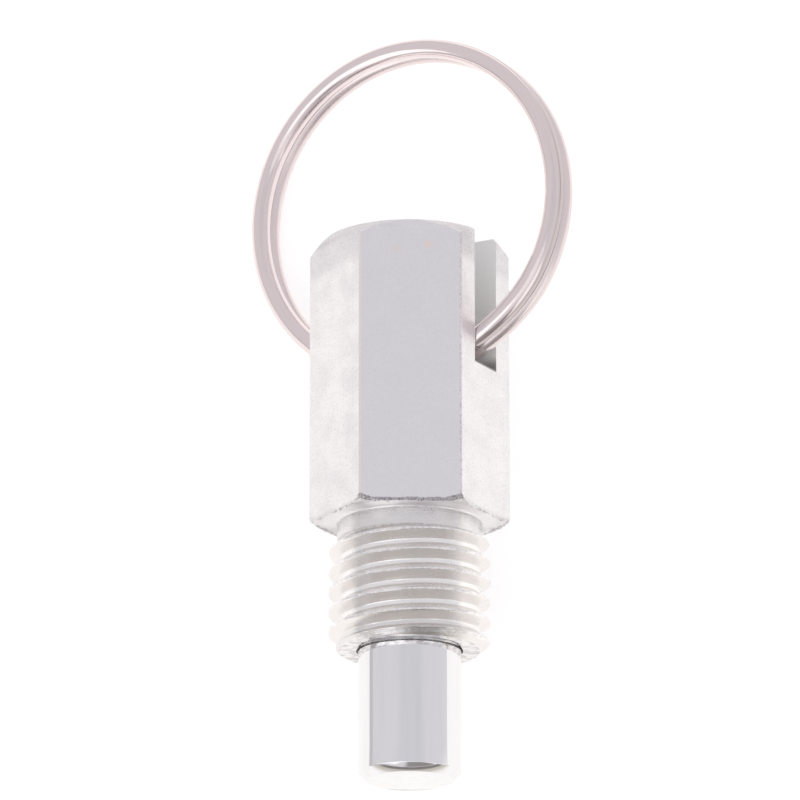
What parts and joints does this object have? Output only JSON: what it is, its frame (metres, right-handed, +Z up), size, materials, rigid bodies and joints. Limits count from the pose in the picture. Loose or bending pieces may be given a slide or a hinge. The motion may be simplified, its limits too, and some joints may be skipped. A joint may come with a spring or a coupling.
{
  "type": "ring locating pin",
  "caption": "Spring-loaded locating pin in a hexagon body with a threaded shank, drawn back by a split ring that lies in a cross slot.",
  "frame": {"origin": "on the axis, in the hexagon's seating face at the top of the thread", "axes": "+Y along the axis from the pin's tip towards the ring, +Z up and square to one flat of the hexagon, with the part lying on the opposite flat and on the ring's rim"},
  "size_m": [0.0316, 0.0749, 0.0194],
  "materials": {
    "plated_body": "satin zinc plate",
    "ground_pin": "ground and polished",
    "spring_wire": "drawn wire",
    "ring_wire": "bright nickel plate"
  },
  "bodies": {
    "housing": {"body": "plated_body", "spring": "spring_wire"},
    "plunger": {"plunger_pin": "ground_pin"},
    "ring": {"pull_ring": "ring_wire"}
  },
  "joints": [
    {"name": "pin_pull", "type": "slide", "parent": "housing", "child": "plunger", "axis": [0, 1, 0], "range_m": [0, 0.014], "stiffness_N_per_m": 1700, "springref_m": -0.0071, "deforming": ["spring"]},
    {"name": "ring_swing", "type": "hinge", "parent": "plunger", "child": "ring", "pos_m": [0, 0.01542, 0], "axis": [0.866, 0, 0.5], "range_deg": [-5, 2]}
  ]
}
